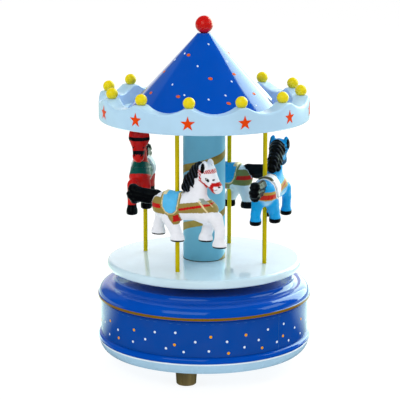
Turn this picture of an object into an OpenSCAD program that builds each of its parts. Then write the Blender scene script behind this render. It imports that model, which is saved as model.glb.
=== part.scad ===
// Wind-up carousel music box: a turned wooden base that holds an 18-note movement, and a
// carousel of platform, column, four poles with horses, and a scalloped canopy that the
// movement's spring barrel turns. Millimetres, +Z up, the origin on the ground in mid-base.
// Angles named "turn" are counted from the front (-Y), and positive towards +X.

/* [Base] */
// Largest diameter of the base
base_d = 110; // [106:1:120]
// Thickness of the base plate
plate_h = 6.2; // [5:0.1:8]
// Height of the drum between the plate and the cover
drum_h = 20.8; // [20.8:0.1:26]
// Height of the moulded cover
cover_h = 10.5; // [10:0.1:12]
// Thickness of the drum's wall
drum_wall = 4.2; // [3:0.1:5]

/* [Feet] */
// Height of the feet
foot_h = 8; // [7:0.5:12]
// Diameter of a foot at its top
foot_d = 10.9; // [8:0.1:12]
// Radius of the circle that the feet stand on
foot_ring_r = 43; // [38:0.5:44]
// Turn of the first foot
foot_turn = -12; // [-60:1:60]

/* [Platform and column] */
// Diameter of the platform
platform_d = 99.6; // [96:0.2:104]
// Thickness of the platform
platform_t = 4.5; // [4:0.1:6]
// Gap between the cover's top and the platform
platform_gap = 4.9; // [4.9:0.1:6]
// Diameter of the centre column
column_d = 21.6; // [18:0.2:26]
// Length of the column between the platform and the canopy
column_h = 72.8; // [70:0.2:80]

/* [Poles and horses] */
// Diameter of a pole
pole_d = 2.2; // [2:0.1:3]
// Radius of the circle of poles
pole_ring_r = 33.5; // [30:0.5:36]
// Turn of the first pole
pole_turn = -23.5; // [-45:0.5:45]
// Height of the first horse's lowest hoof above the platform
horse_1_lift = 15.4; // [8:0.1:26]
// Height of the second horse's lowest hoof
horse_2_lift = 20.2; // [8:0.1:26]
// Height of the third horse's lowest hoof
horse_3_lift = 18.1; // [8:0.1:26]
// Height of the fourth horse's lowest hoof
horse_4_lift = 25.1; // [8:0.1:26]

/* [Canopy] */
// Outer diameter of the canopy
canopy_d = 107.2; // [104:0.2:112]
// Thickness of the rim's wall
rim_wall = 8.1; // [6:0.1:9]
// Thickness of the canopy's deck
deck_t = 3.3; // [3:0.1:5]
// Height of the rim where a scallop is lowest
rim_low_h = 9.5; // [8:0.1:11]
// Height of the rim at a crest, under a bead
rim_crest_h = 13; // [12:0.1:15]
// Number of scallops, beads and stars
scallops = 12; // [8:1:16]
// Turn of the first crest
crest_turn = -8.5; // [-15:0.5:15]
// Diameter of a bead
bead_d = 6; // [5:0.1:7]
// Outer radius of a star
star_r = 3.7; // [2.5:0.05:4]
// Diameter of the cone at its foot
cone_d = 81; // [76:0.5:86]
// Height of the cone
cone_h = 40.3; // [36:0.1:46]
// Diameter of the cone's flat tip
cone_tip_d = 6.6; // [5:0.1:8]
// Diameter of the ball on top
finial_d = 9; // [7:0.1:11]

/* [Movement] */
// Notes of the comb
notes = 18; // [12:1:18]
// Pins in the cylinder for each note
pins_per_note = 4; // [1:1:6]
// Radius of the note cylinder
cylinder_r = 6; // [5.5:0.1:6]
// Width of the winding key
key_w = 22; // [16:1:30]

/* [Hidden] */
HORSES = ["horse_front", "horse_right", "horse_back", "horse_left"];
POLES = ["pole_front", "pole_right", "pole_back", "pole_left"];
FEET = ["foot_front", "foot_right", "foot_left"];
$fn = 72;
eps = 0.5; // how far a cutting shape runs past what it cuts

// Heights of the levels, from the ground up
z_plate = foot_h;
z_drum = z_plate + plate_h;
z_cover = z_drum + drum_h;
z_cover_top = z_cover + cover_h;
z_platform = z_cover_top + platform_gap;
z_deck = z_platform + platform_t;
z_canopy = z_deck + column_h;
z_roof = z_canopy + deck_t;
z_crest = z_canopy + rim_crest_h;
z_cone_tip = z_roof + cone_h;

// Base
base_r = base_d / 2;
wall_r = base_r - 1.5;
sleeve_t = 0.3;
sleeve_gap = 0.4;
sleeve_turn = 44;
moulding_h = 3; // half-round moulding at the drum's foot
lip_h = 0.5; // how far that moulding laps down over the plate
lip_r = base_r - 1.4;
z_lip = z_drum - lip_h;
cover_top_t = 3;
cover_neck_r = base_r - 9.2;
plate_screw_r = 46.4;
plate_screw_turns = [40, 160, 280];
plate_screw_len = 13.4;

// Feet
foot_bottom_r = foot_d / 2 - 0.45;
foot_round = 1;

// Poles, holes and screws
pole_fit = 0.05;
pole_socket = 2.4;
lifts = [horse_1_lift, horse_2_lift, horse_3_lift, horse_4_lift];
// Each horse was drilled by hand, so it sits a little turned, leaning and off its pole's centre
yaws = [0, 5, 0, 20];
leans = [0, 3, 0, 0];
pitches = [0, -2, 0, 0];
outs = [0.5, 1, 0, 1.3];
horse_colours = ["white", "deepskyblue", "gainsboro", "firebrick"];

// Canopy
canopy_r = canopy_d / 2;
rim_mid_r = canopy_r - rim_wall / 2 - 0.3;
scallop_depth = rim_crest_h - rim_low_h;
scallop_r = 19;
bead_z = z_crest + 2.3;
star_t = 0.15;
star_z = z_canopy + 5.9;
star_waist = 0.4;
finial_z = 180 - finial_d / 2 + (z_cone_tip - 171.3);
finial_pin_r = 1.25;

// Movement: the bedplate lies on the base plate, and the barrel stands over its centre
bed_t = 2.3;
z_bed = z_drum + bed_t;
barrel_r = 14;
barrel_wall = 1.4;
z_barrel = z_bed + 0.7;
z_rim = z_bed + 9.5;
crown_r = 15;
crown_face = 3.6;
crown_pitch_h = 1.05;
crown_tooth_h = 1.85;
crown_teeth = 40;
pinion_teeth = 10;
gear_teeth = 40;
second_teeth = 10;
wheel_teeth = 24;
arbor_r = 2.5;
arbor_fit = 0.05;
spindle_r = 3;
pinion_r = crown_r * pinion_teeth / crown_teeth;
cylinder_z = z_rim + crown_pitch_h + pinion_r;
cylinder_x = 20;
cylinder_len = 19;
shaft_r = 1;
gear_module = 0.5;
gear_r = gear_module * gear_teeth / 2;
second_r = gear_module * second_teeth / 2;
gear_x = 39.6;
gear_t = 1.4;
second_drop = 6;
second_y = -sqrt(pow(gear_r + second_r, 2) - second_drop * second_drop);
second_z = cylinder_z - second_drop;
second_shaft_r = 0.7;
wheel_r = 4.5;
wheel_x = 33.5;
wheel_t = 1;
worm_starts = 2;
worm_r = 2;
worm_x = wheel_x + wheel_t / 2;
worm_y = second_y - wheel_r - worm_r;
worm_lead = worm_starts * 2 * PI * wheel_r / wheel_teeth;
worm_len = 9;
worm_shaft_r = 0.6;
bearing_fit = 0.05;
end_plate_x = 42.4;
end_plate_t = 1.5;
post_x = 17.4;
second_post_x = 29.6;
comb_pitch = 1;
comb_gap = 0.6;
comb_t = 0.8;
comb_y = cylinder_r + comb_gap;
tooth_len = 12;
comb_back = 7;
movement_screw_at = [[-12, -10], [-12, 10], [25, -14]];
comb_screw_dx = 6;
bracket_y = worm_y - 6.5;
bracket_top = second_z + 5.6;
flange_r = 14;
flange_screw_r = 10.5;

// Half section of a turned disc whose lower and upper outer edges are rounded
module disc_section(r, z0, z1, low, high) {
    intersection() {
        translate([0, z0]) square([r, z1 - z0]);
        union() {
            translate([0, z0]) square([r - max(low, high), z1 - z0]);
            translate([0, z0 + low]) square([r, z1 - z0 - low - high]);
            if (low > 0) translate([r - low, z0 + low]) circle(r = low);
            if (high > 0) translate([r - high, z1 - high]) circle(r = high);
        }
    }
}

// Points of an arc about centre c
function arc(c, r, a0, a1, n = 8) =
    [for (i = [0:n]) let (a = a0 + (a1 - a0) * i / n) c + r * [cos(a), sin(a)]];

// Turns a shape from the front to an angle round the centre line
module at_turn(turn, r = 0, z = 0) {
    rotate([0, 0, turn]) translate([0, -r, z]) children();
}

// A tube, or a rod when r0 is 0
module tube(r0, r1, z0, z1) {
    difference() {
        translate([0, 0, z0]) cylinder(r = r1, h = z1 - z0);
        if (r0 > 0) translate([0, 0, z0 - eps]) cylinder(r = r0, h = z1 - z0 + 2 * eps);
    }
}

// A screw along +Z whose head's flat side lies at z = 0 and whose shank points up
module screw(r, len, head_r, head_h) {
    difference() {
        union() {
            cylinder(r = r, h = len, $fn = 32);
            translate([0, 0, -head_h]) cylinder(r = head_r, h = head_h, $fn = 32);
        }
        translate([-head_r - eps, -0.3, -head_h - eps]) cube([2 * (head_r + eps), 0.6, eps + 0.5]);
    }
}

// A spur gear's outline: straight-sided teeth thin enough to run freely
module gear_outline(teeth, r, add, ded, tooth_w) {
    root = r - ded;
    circle(r = root, $fn = 96);
    for (i = [0:teeth - 1]) rotate(i * 360 / teeth)
        polygon([[root * 0.9, -tooth_w * 0.62], [root, -tooth_w * 0.62], [r, -tooth_w / 2],
            [r + add, -tooth_w * 0.26], [r + add, tooth_w * 0.26], [r, tooth_w / 2],
            [root, tooth_w * 0.62], [root * 0.9, tooth_w * 0.62]]);
}

// Lays a shape drawn in XY, with its axis on Z, along +X at the cylinder's or the arbor's axis
module along_x(x, y, z) {
    translate([x, y, z]) rotate([90, 0, 90]) children();
}

// ---- Base ----

module foot(i) {
    color("darkgoldenrod") at_turn(foot_turn + 120 * i, foot_ring_r) rotate_extrude() {
        disc_section(foot_bottom_r, 0, foot_round * 2, foot_round, 0);
        translate([0, foot_round]) polygon([[0, 0], [foot_bottom_r, 0],
            [foot_d / 2, foot_h - foot_round], [0, foot_h - foot_round]]);
    }
}

// Places children at each movement screw
module at_movement_screws() {
    for (p = movement_screw_at) translate([p[0], p[1], 0]) children();
}

module base_plate() {
    side_r = base_r - 0.5;
    curve_r = 7;
    color("lightblue") difference() {
        // the side curves in towards the ground
        rotate_extrude(convexity = 4) {
            translate([0, z_plate]) square([side_r - curve_r, plate_h]);
            intersection() {
                translate([side_r - curve_r, z_lip]) circle(r = curve_r);
                translate([side_r - curve_r, z_plate]) square([curve_r, z_lip - z_plate]);
            }
            translate([side_r - curve_r, z_lip - 1]) square([lip_r - side_r + curve_r, 1 + lip_h]);
        }
        tube(0, 6, z_plate - eps, z_drum + eps);
        at_movement_screws() {
            tube(0, 1.6, z_plate - eps, z_drum + eps);
            tube(0, 3.2, z_plate - eps, z_plate + 2.2);
        }
        for (t = plate_screw_turns) at_turn(t, plate_screw_r) {
            tube(0, 1.6, z_plate - eps, z_drum + eps);
            tube(0, 2.6, z_plate - eps, z_plate + 1.8);
        }
    }
}

module base_drum() {
    bead_r = moulding_h / 2;
    inner_r = wall_r - drum_wall;
    color("mediumblue") difference() {
        union() {
            rotate_extrude(convexity = 6) difference() {
                union() {
                    translate([inner_r, z_drum]) square([drum_wall - sleeve_t, drum_h]);
                    translate([inner_r, z_drum])
                        square([base_r - bead_r - inner_r, moulding_h - lip_h]);
                    translate([base_r - bead_r, z_lip + bead_r]) circle(r = bead_r);
                }
                translate([0, z_drum - 3]) square([lip_r, 3]);
            }
            // blocks inside the wall that take the plate's screws
            for (t = plate_screw_turns) at_turn(t, plate_screw_r) tube(0, 4, z_drum, z_drum + 13);
        }
        for (t = plate_screw_turns) at_turn(t, plate_screw_r)
            tube(0, 1.5, z_drum - eps, z_plate + 1.9 + plate_screw_len);
    }
}

// The printed film round the drum, with the seam where its ends meet
module print_sleeve() {
    color("royalblue") difference() {
        tube(wall_r - sleeve_t, wall_r, z_lip + moulding_h + 0.2, z_cover - 0.2);
        at_turn(sleeve_turn, wall_r) translate([-sleeve_gap / 2, -2, z_drum])
            cube([sleeve_gap, 4, drum_h]);
    }
}

// The cover has a bead at its foot, a quarter-round bulge above it and a cove below its top
module base_cover() {
    bead = [base_r - 1.1, z_cover + 1.6];
    bulge_r = 5;
    bulge = [base_r - 0.6 - bulge_r, z_cover + 2.3];
    cove_r = 3;
    spigot_r = wall_r - drum_wall - 0.1;
    color("mediumblue") difference() {
        union() {
            rotate_extrude(convexity = 4) polygon([
                [5, z_cover_top - cover_top_t], [5, z_cover_top],
                [cover_neck_r + cove_r, z_cover_top], bulge + [0, bulge_r - 1], bulge + [3, 0],
                bead, [wall_r - sleeve_t, z_cover], [spigot_r, z_cover],
                [spigot_r, z_cover - 1.2], [spigot_r - 3, z_cover - 1.2],
                [cover_neck_r - 3, z_cover_top - cover_top_t]]);
            rotate_extrude() translate(bead) circle(r = 1.1);
            rotate_extrude() intersection() {
                translate(bulge) circle(r = bulge_r);
                translate(bulge - [1, 0.8]) square(bulge_r + 2);
            }
        }
        rotate_extrude() translate([cover_neck_r + cove_r, z_cover_top]) circle(r = cove_r);
    }
}

// Wood screws that hold the plate to the blocks inside the drum
module plate_screws() {
    color("silver") for (t = plate_screw_turns)
        at_turn(t, plate_screw_r, z_plate + 1.8) screw(1.5, plate_screw_len, 2.5, 1.6);
}

module spindle_bush() {
    color("gold") {
        tube(spindle_r + bearing_fit, 5, z_cover_top - cover_top_t, z_cover_top);
    }
}

module thrust_washer() {
    color("ivory") tube(spindle_r + 0.4, 9, z_cover_top, z_cover_top + 1.2);
}

// ---- Movement, fixed parts ----

module bed_outline() {
    intersection() {
        union() {
            circle(r = 19.5);
            translate([0, -19]) square([44, 40]);
            translate([28, bracket_y - 2.5]) square([12, 12]);
            translate([18, 0]) square([24, comb_y + tooth_len + comb_back]);
        }
        circle(r = wall_r - drum_wall - 2.5);
    }
}

module movement_bedplate() {
    comb_bed_y = comb_y + tooth_len;
    color("dimgray") difference() {
        union() {
            translate([0, 0, z_drum]) linear_extrude(bed_t) difference() {
                bed_outline();
                circle(r = arbor_r + arbor_fit);
                for (p = movement_screw_at) translate(p) circle(r = 1.5);
            }
            // bearings of the note cylinder and of the second arbor
            translate([post_x, -3, z_bed - 0.2]) cube([1.6, 6, cylinder_z + 2.4 - z_bed + 0.2]);
            translate([end_plate_x, second_y - 2.2, z_bed - 0.2])
                cube([end_plate_t, 3 - second_y, cylinder_z + 2.4 - z_bed + 0.2]);
            translate([second_post_x, second_y - 2, z_bed - 0.2])
                cube([1.4, 4, second_z + 1.8 - z_bed + 0.2]);
            // pedestal of the comb
            translate([cylinder_x + 0.5, comb_bed_y, z_bed - 0.2])
                cube([notes * comb_pitch, comb_back, cylinder_z - comb_t - z_bed + 0.2]);
        }
        along_x(post_x - eps, 0, cylinder_z) cylinder(r = shaft_r + bearing_fit, h = 3);
        along_x(end_plate_x - eps, 0, cylinder_z) cylinder(r = shaft_r + bearing_fit, h = 3);
        for (x = [second_post_x, end_plate_x]) along_x(x - eps, second_y, second_z)
            cylinder(r = second_shaft_r + bearing_fit, h = 3);
        translate([worm_x, worm_y, z_bed - 1.2]) cylinder(r = worm_shaft_r + bearing_fit, h = 2);
        at_comb_screws() translate([0, 0, -6]) cylinder(r = 1.2, h = 6 + eps);
        at_bracket_screws() translate([0, 0, -bed_t - eps]) cylinder(r = 1, h = bed_t + 2 * eps);
    }
}

// Places children at each comb screw, with z = 0 on the pedestal's top
module at_comb_screws() {
    mid_x = cylinder_x + 0.5 + notes * comb_pitch / 2;
    for (dx = [-comb_screw_dx, comb_screw_dx])
        translate([mid_x + dx, comb_y + tooth_len + comb_back / 2, cylinder_z - comb_t]) children();
}

// Places children at each bracket screw, with z = 0 on the bedplate's top
module at_bracket_screws() {
    for (dx = [-2, 2]) translate([worm_x + dx, bracket_y - 0.7, z_bed]) children();
}

module movement_screws() {
    color("silver") at_movement_screws()
        translate([0, 0, z_plate + 2.2]) screw(1.5, plate_h - 2.2 + bed_t - 0.2, 3, 1.9);
}

// Steel comb: a back plate and one tooth for each note, long for the low notes
module comb() {
    slit = 0.18;
    x0 = cylinder_x + 0.5;
    color("silver") difference() {
        translate([x0, comb_y, cylinder_z - comb_t])
            cube([notes * comb_pitch, tooth_len + comb_back, comb_t]);
        for (i = [1:notes - 1])
            translate([x0 + i * comb_pitch - slit / 2, comb_y - eps, cylinder_z - comb_t - eps])
                cube([slit, tooth_len + eps - 4 * i / notes, comb_t + 2 * eps]);
        at_comb_screws() translate([0, 0, -eps]) cylinder(r = 1.4, h = comb_t + 2 * eps);
    }
}

// Turns a screw head up and shank down, with the head's flat side at z = 0
module screw_down(r, len, head_r, head_h) {
    rotate([180, 0, 0]) screw(r, len, head_r, head_h);
}

module comb_screws() {
    color("goldenrod") at_comb_screws() translate([0, 0, comb_t]) screw_down(1.2, 5.5, 2.2, 1.3);
}

// Sheet bracket that carries the worm's upper pivot and shields the fan
module governor_bracket() {
    color("gainsboro") difference() {
        union() {
            translate([worm_x - 4, bracket_y - 2.4, z_bed]) cube([8, 4.2, 0.8]);
            translate([worm_x - 4, bracket_y + 1, z_bed]) cube([8, 0.8, bracket_top - z_bed]);
            translate([worm_x - 3, bracket_y + 1, bracket_top - 0.8])
                cube([6, worm_y + 2.6 - bracket_y - 1, 0.8]);
        }
        at_bracket_screws() translate([0, 0, -eps]) cylinder(r = 1.1, h = 2);
        translate([worm_x, worm_y, bracket_top - 2])
            cylinder(r = worm_shaft_r + bearing_fit, h = 4);
    }
}

module bracket_screws() {
    color("goldenrod") at_bracket_screws() translate([0, 0, 0.8]) screw_down(1, 2.6, 1.6, 0.9);
}

// ---- Winding arbor and key ----

module winding_arbor() {
    color("silver") translate([0, 0, z_plate + 1]) {
        cylinder(r = arbor_r, h = z_rim - 1.4 - z_plate - 1);
    }
}

module winding_key() {
    wing_t = 1.8;
    wing_z = 1.2;
    color("gold") difference() {
        union() {
            tube(0, 4, wing_z + 1, z_plate + 5);
            difference() {
                rotate([90, 0, 0]) linear_extrude(wing_t, center = true) hull()
                    for (s = [-1, 1]) translate([s * (key_w / 2 - 3), wing_z + 3]) circle(r = 3);
                tube(0, 3.5, 0, z_plate);
            }
        }
        tube(0, arbor_r, z_plate + 1, z_plate + 5 + eps);
    }
}

// ---- Spring barrel and drive ----

module spring_barrel() {
    color("gold") difference() {
        union() {
            tube(0, barrel_r, z_barrel, z_rim);
            tube(0, crown_r + crown_face / 2, z_rim - 1.6, z_rim);
            // crown teeth, with a gap facing +X
            for (i = [0:crown_teeth - 1]) rotate([0, 0, (i + 0.5) * 360 / crown_teeth])
                translate([crown_r - crown_face / 2, 0, z_rim - 0.1]) rotate([90, 0, 90])
                    linear_extrude(crown_face) polygon([[-0.52, 0], [-0.4, crown_pitch_h],
                        [-0.2, crown_tooth_h], [0.2, crown_tooth_h], [0.4, crown_pitch_h],
                        [0.52, 0]]);
        }
        tube(0, barrel_r - barrel_wall, z_barrel + 1, z_rim + 4);
        tube(0, arbor_r + arbor_fit, z_barrel - eps, z_barrel + 2);
    }
}

module barrel_lid() {
    color("gold") difference() {
        union() {
            tube(0, barrel_r - barrel_wall, z_rim - 1, z_rim);
            tube(0, 5.5, z_rim, z_rim + 3);
        }
        tube(0, spindle_r, z_rim, z_rim + 3 + eps);
    }
}

// Spiral spring strip, part unwound, between the arbor and the barrel's wall
module mainspring() {
    turns = 7;
    strip_t = 0.35;
    r0 = arbor_r + 1.2;
    r1 = barrel_r - barrel_wall - 0.6;
    steps = turns * 24;
    function spiral(r_off) = [for (i = [0:steps])
        let (a = 360 * turns * i / steps, r = r0 + (r1 - r0) * i / steps + r_off)
        [r * cos(a), r * sin(a)]];
    inner = spiral(0);
    outer = spiral(strip_t);
    color("slategray") translate([0, 0, z_barrel + 1.4]) linear_extrude(z_rim - z_barrel - 2.8)
        polygon(concat(inner, [for (i = [steps:-1:0]) outer[i]]));
}

module drive_spindle() {
    color("silver") tube(0, spindle_r, z_rim, z_platform - 0.2);
}

module drive_flange() {
    color("silver") difference() {
        union() {
            tube(0, flange_r, z_platform - 2.2, z_platform);
            tube(0, 6, z_cover_top + 1.25, z_platform - 2);
        }
        tube(0, spindle_r, z_cover_top, z_platform + eps);
        at_flange_screws() cylinder(r = 1.4, h = 6, center = true);
    }
}

// Places children at each flange screw, with z = 0 on the flange's underside
module at_flange_screws() {
    for (t = [0, 120, 240]) at_turn(t, flange_screw_r, z_platform - 2.2) children();
}

module flange_screws() {
    color("silver") at_flange_screws() screw(1.25, 5.2, 2.3, 1.2);
}

// ---- Carousel ----

// Places children at a pole, counted from the front anticlockwise
module at_pole(i, z = 0) {
    at_turn(pole_turn + 90 * i, pole_ring_r, z) children();
}

module platform() {
    color("lightblue") difference() {
        rotate_extrude(convexity = 4) disc_section(platform_d / 2, z_platform, z_deck, 1.6, 1.6);
        for (i = [0:3]) at_pole(i) tube(0, pole_d / 2, z_deck - pole_socket, z_deck + eps);
        at_flange_screws() cylinder(r = 1.25, h = 5.4);
        tube(0, 3.4, z_platform - eps, z_platform + 1.8);
        tube(0, 1.5, z_platform, z_deck + eps);
    }
}

module column() {
    pilot = 16;
    color("cadetblue") difference() {
        tube(0, column_d / 2, z_deck, z_canopy);
        tube(0, 1.5, z_deck - eps, z_deck + pilot);
        tube(0, 1.5, z_canopy - pilot, z_canopy + eps);
    }
}

module column_screw() {
    color("silver") translate([0, 0, z_platform + 1.8]) screw(1.5, 16, 3.2, 1.6);
}

module canopy_screw() {
    color("silver") translate([0, 0, z_roof]) screw_down(1.5, 16, 3.4, 1.8);
}

module pole(i) {
    color("gold") at_pole(i) tube(0, pole_d / 2, z_deck - pole_socket, z_canopy + pole_socket);
}

// Places children at each crest of the rim
module at_crests(r, z) {
    for (i = [0:scallops - 1]) at_turn(crest_turn + i * 360 / scallops, r, z) children();
}

module canopy_rim() {
    inner_r = canopy_r - rim_wall;
    color("lightblue") difference() {
        union() {
            tube(0, canopy_r, z_canopy, z_roof);
            tube(inner_r, canopy_r, z_roof - 0.1, z_crest);
        }
        for (i = [0:scallops - 1]) at_turn(crest_turn + (i + 0.5) * 360 / scallops,
            inner_r - 2, z_canopy + rim_low_h + scallop_r)
                rotate([90, 0, 0]) cylinder(r = scallop_r, h = rim_wall + 6);
        for (i = [0:3]) at_pole(i) tube(0, pole_d / 2, z_canopy - eps, z_canopy + pole_socket);
        tube(0, 1.6, z_canopy - eps, z_roof + eps);
    }
}

// Solid cone with a pin hole in its tip, and room below for the head of the canopy's screw
module roof_cone() {
    color("mediumblue") difference() {
        translate([0, 0, z_roof]) cylinder(d1 = cone_d, d2 = cone_tip_d, h = z_cone_tip - z_roof);
        tube(0, 4, z_roof - eps, z_roof + 2.5);
        tube(0, finial_pin_r, z_cone_tip - 8, z_cone_tip + eps);
    }
}

module rim_beads() {
    color("gold") at_crests(rim_mid_r, bead_z) intersection() {
        sphere(r = bead_d / 2);
        translate([0, 0, bead_d / 2 + z_crest - bead_z]) cube(bead_d, center = true);
    }
}

module star_outline() {
    polygon([for (i = [0:9]) let (r = i % 2 == 0 ? star_r : star_r * star_waist)
        r * [sin(36 * i), cos(36 * i)]]);
}

module rim_stars() {
    color("orangered") intersection() {
        tube(canopy_r, canopy_r + star_t, z_canopy, z_crest);
        at_crests(canopy_r + 3, star_z) rotate([90, 0, 0]) translate([0, 0, -6])
            linear_extrude(6) star_outline();
    }
}

module finial_ball() {
    color("red") difference() {
        translate([0, 0, finial_z]) sphere(r = finial_d / 2);
        tube(0, finial_d, z_cone_tip - finial_d, z_cone_tip);
        tube(0, finial_pin_r, z_cone_tip - eps, finial_z + 0.5);
    }
}

module finial_pin() {
    color("tan") tube(0, finial_pin_r, z_cone_tip - 8, finial_z + 0.5);
}

// A blend between two balls, w times as wide as tall, which forms a limb or a trunk
module limb(p, q, r0, r1, w = 1) {
    hull() {
        translate(p) scale([1, w, 1]) sphere(r = r0, $fn = 18);
        translate(q) scale([1, w, 1]) sphere(r = r1, $fn = 18);
    }
}

// Horse facing +X, with the middle of its back on the Z axis and its lowest hoof at z = 0
module horse_shape() {
    translate([0, 0, -0.6]) {
        limb([-6.2, 0, 19], [17, 0, 18], 7, 6.6, 0.78);
        limb([10.4, 0, 22.5], [12.2, 0, 37], 6.2, 4.3, 0.8);
        limb([15.9, 0, 37.6], [21.4, 0, 30.7], 4.7, 3.1, 0.84);
        limb([-9.6, 2.8, 14.5], [-11.5, 2.6, 5.9], 3.3, 2.8, 0.9);
        limb([-2.6, -3, 13.8], [1.9, -3.7, 5.2], 3.5, 3.2, 0.9);
        limb([16.8, 2.8, 13.5], [14, 3.2, 4.6], 3.4, 3.1, 0.9);
        limb([22, -2.9, 14.5], [24.2, -3.2, 3.4], 3.2, 2.8, 0.9);
        // mane, ears and tail
        translate([9.6, 0, 39.4]) sphere(r = 2.8, $fn = 24);
        translate([5.8, 0, 33.6]) scale([0.9, 1, 1.7]) sphere(r = 2.9, $fn = 24);
        for (s = [-1, 1]) translate([14.8, s * 3.2, 39]) rotate([s * -9, 10, 0])
            scale([1, 0.7, 1]) cylinder(r1 = 2, r2 = 0.8, h = 5.4);
        translate([-10, 0, 23.9]) rotate([0, -93, 0]) cylinder(r1 = 2.6, r2 = 3.6, h = 12);
        translate([-22.8, 0, 23.2]) sphere(r = 4.3, $fn = 24);
    }
}

module horse(i) {
    color(horse_colours[i]) difference() {
        at_pole(i, z_deck + lifts[i]) rotate([0, 0, yaws[i]]) translate([0, -outs[i], 0])
            rotate([leans[i], pitches[i], 0]) horse_shape();
        at_pole(i, z_deck) cylinder(r = pole_d / 2 + pole_fit, h = z_canopy - z_deck + 1);
    }
}

// ---- Note cylinder and governor ----

module note_cylinder() {
    pin_r = 0.25;
    pin_h = 0.5;
    golden = 137.5;
    color("gold") difference() {
        union() {
            along_x(cylinder_x, 0, cylinder_z) cylinder(r = cylinder_r, h = cylinder_len);
            for (n = [0:notes - 1], k = [0:pins_per_note - 1])
                translate([cylinder_x + 0.5 + (n + 0.5) * comb_pitch, 0, cylinder_z])
                    rotate([n * golden + k * 83 + 20, 0, 0])
                        cylinder(r = pin_r, h = cylinder_r + pin_h, $fn = 16);
        }
        along_x(cylinder_x - eps, 0, cylinder_z) cylinder(r = shaft_r, h = cylinder_len + 2 * eps);
    }
}

module cylinder_shaft() {
    color("silver") along_x(crown_r - 2.6, 0, cylinder_z)
        cylinder(r = shaft_r, h = end_plate_x + end_plate_t - 0.2 - crown_r + 2.6);
}

// Pinion over the crown, with a tooth pointing straight down
module cylinder_pinion() {
    color("gold") along_x(crown_r - 1.5, 0, cylinder_z) linear_extrude(3) difference() {
        rotate(-90) gear_outline(pinion_teeth, pinion_r, 0.75, 1.05, 0.85);
        circle(r = shaft_r);
    }
}

// Large gear, with a tooth facing the second arbor
module cylinder_gear() {
    face = atan2(-second_drop, second_y);
    color("gold") along_x(gear_x, 0, cylinder_z) linear_extrude(gear_t) difference() {
        rotate(face) gear_outline(gear_teeth, gear_r, 0.4, 0.6, 0.5);
        circle(r = shaft_r);
    }
}

module second_arbor() {
    color("silver") along_x(second_post_x + 0.2, second_y, second_z)
        cylinder(r = second_shaft_r, h = end_plate_x + end_plate_t - 0.4 - second_post_x);
}

// Small pinion, with a gap facing the large gear
module second_pinion() {
    face = atan2(second_drop, -second_y) + 180 / second_teeth;
    color("gold") along_x(gear_x - 0.3, second_y, second_z) linear_extrude(2) difference() {
        rotate(face) gear_outline(second_teeth, second_r, 0.4, 0.6, 0.5);
        circle(r = second_shaft_r);
    }
}

// Worm wheel, with a tooth facing the worm
module worm_wheel() {
    color("ivory") along_x(wheel_x, second_y, second_z) linear_extrude(wheel_t) difference() {
        rotate(180) gear_outline(wheel_teeth, wheel_r, 0.38, 0.5, 0.38);
        circle(r = second_shaft_r);
    }
}

// Two-start worm on its upright shaft, with a gap facing the wheel at the wheel's height
module governor_worm() {
    thread_deg = 56;
    core_r = worm_r - 0.5;
    tip_r = worm_r + 0.38;
    z0 = second_z - worm_len / 2;
    start = 90 + 90 - 360 * (second_z - z0) / worm_lead;
    color("silver") translate([worm_x, worm_y, 0]) {
        tube(0, worm_shaft_r, z_bed - 1, bracket_top + 6.6);
        tube(0, core_r, z0, z0 + worm_len);
        translate([0, 0, z0]) linear_extrude(worm_len, twist = -360 * worm_len / worm_lead,
            slices = 56, convexity = 6, $fn = 12)
            for (s = [0:worm_starts - 1]) rotate(start + s * 360 / worm_starts)
                polygon(concat([[0.3, 0]], arc([0, 0], tip_r, -thread_deg / 2, thread_deg / 2, 3)));
    }
}

// Air brake: two vanes on a hub above the bracket
module governor_fan() {
    vane_l = 6.4;
    vane_h = 5;
    fan_z = bracket_top + 1;
    color("whitesmoke") translate([worm_x, worm_y, fan_z]) difference() {
        union() {
            cylinder(r = 1.5, h = vane_h);
            translate([-vane_l, -0.25, 0]) cube([2 * vane_l, 0.5, vane_h]);
        }
        translate([0, 0, -eps]) cylinder(r = worm_shaft_r, h = vane_h + 2 * eps);
    }
}

for (i = [0:2]) foot(i);
for (i = [0:3]) pole(i);
for (i = [0:3]) horse(i);
base_plate();
base_drum();
print_sleeve();
base_cover();
plate_screws();
spindle_bush();
thrust_washer();
movement_bedplate();
movement_screws();
comb();
comb_screws();
governor_bracket();
bracket_screws();
winding_arbor();
winding_key();
spring_barrel();
barrel_lid();
mainspring();
drive_spindle();
drive_flange();
flange_screws();
platform();
column();
column_screw();
canopy_rim();
canopy_screw();
roof_cone();
rim_beads();
rim_stars();
finial_ball();
finial_pin();
note_cylinder();
cylinder_shaft();
cylinder_pinion();
cylinder_gear();
second_arbor();
second_pinion();
worm_wheel();
governor_worm();
governor_fan();
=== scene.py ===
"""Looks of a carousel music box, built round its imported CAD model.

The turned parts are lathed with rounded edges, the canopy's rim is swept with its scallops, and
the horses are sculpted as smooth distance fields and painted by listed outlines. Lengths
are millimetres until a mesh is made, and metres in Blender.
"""

import math

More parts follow.
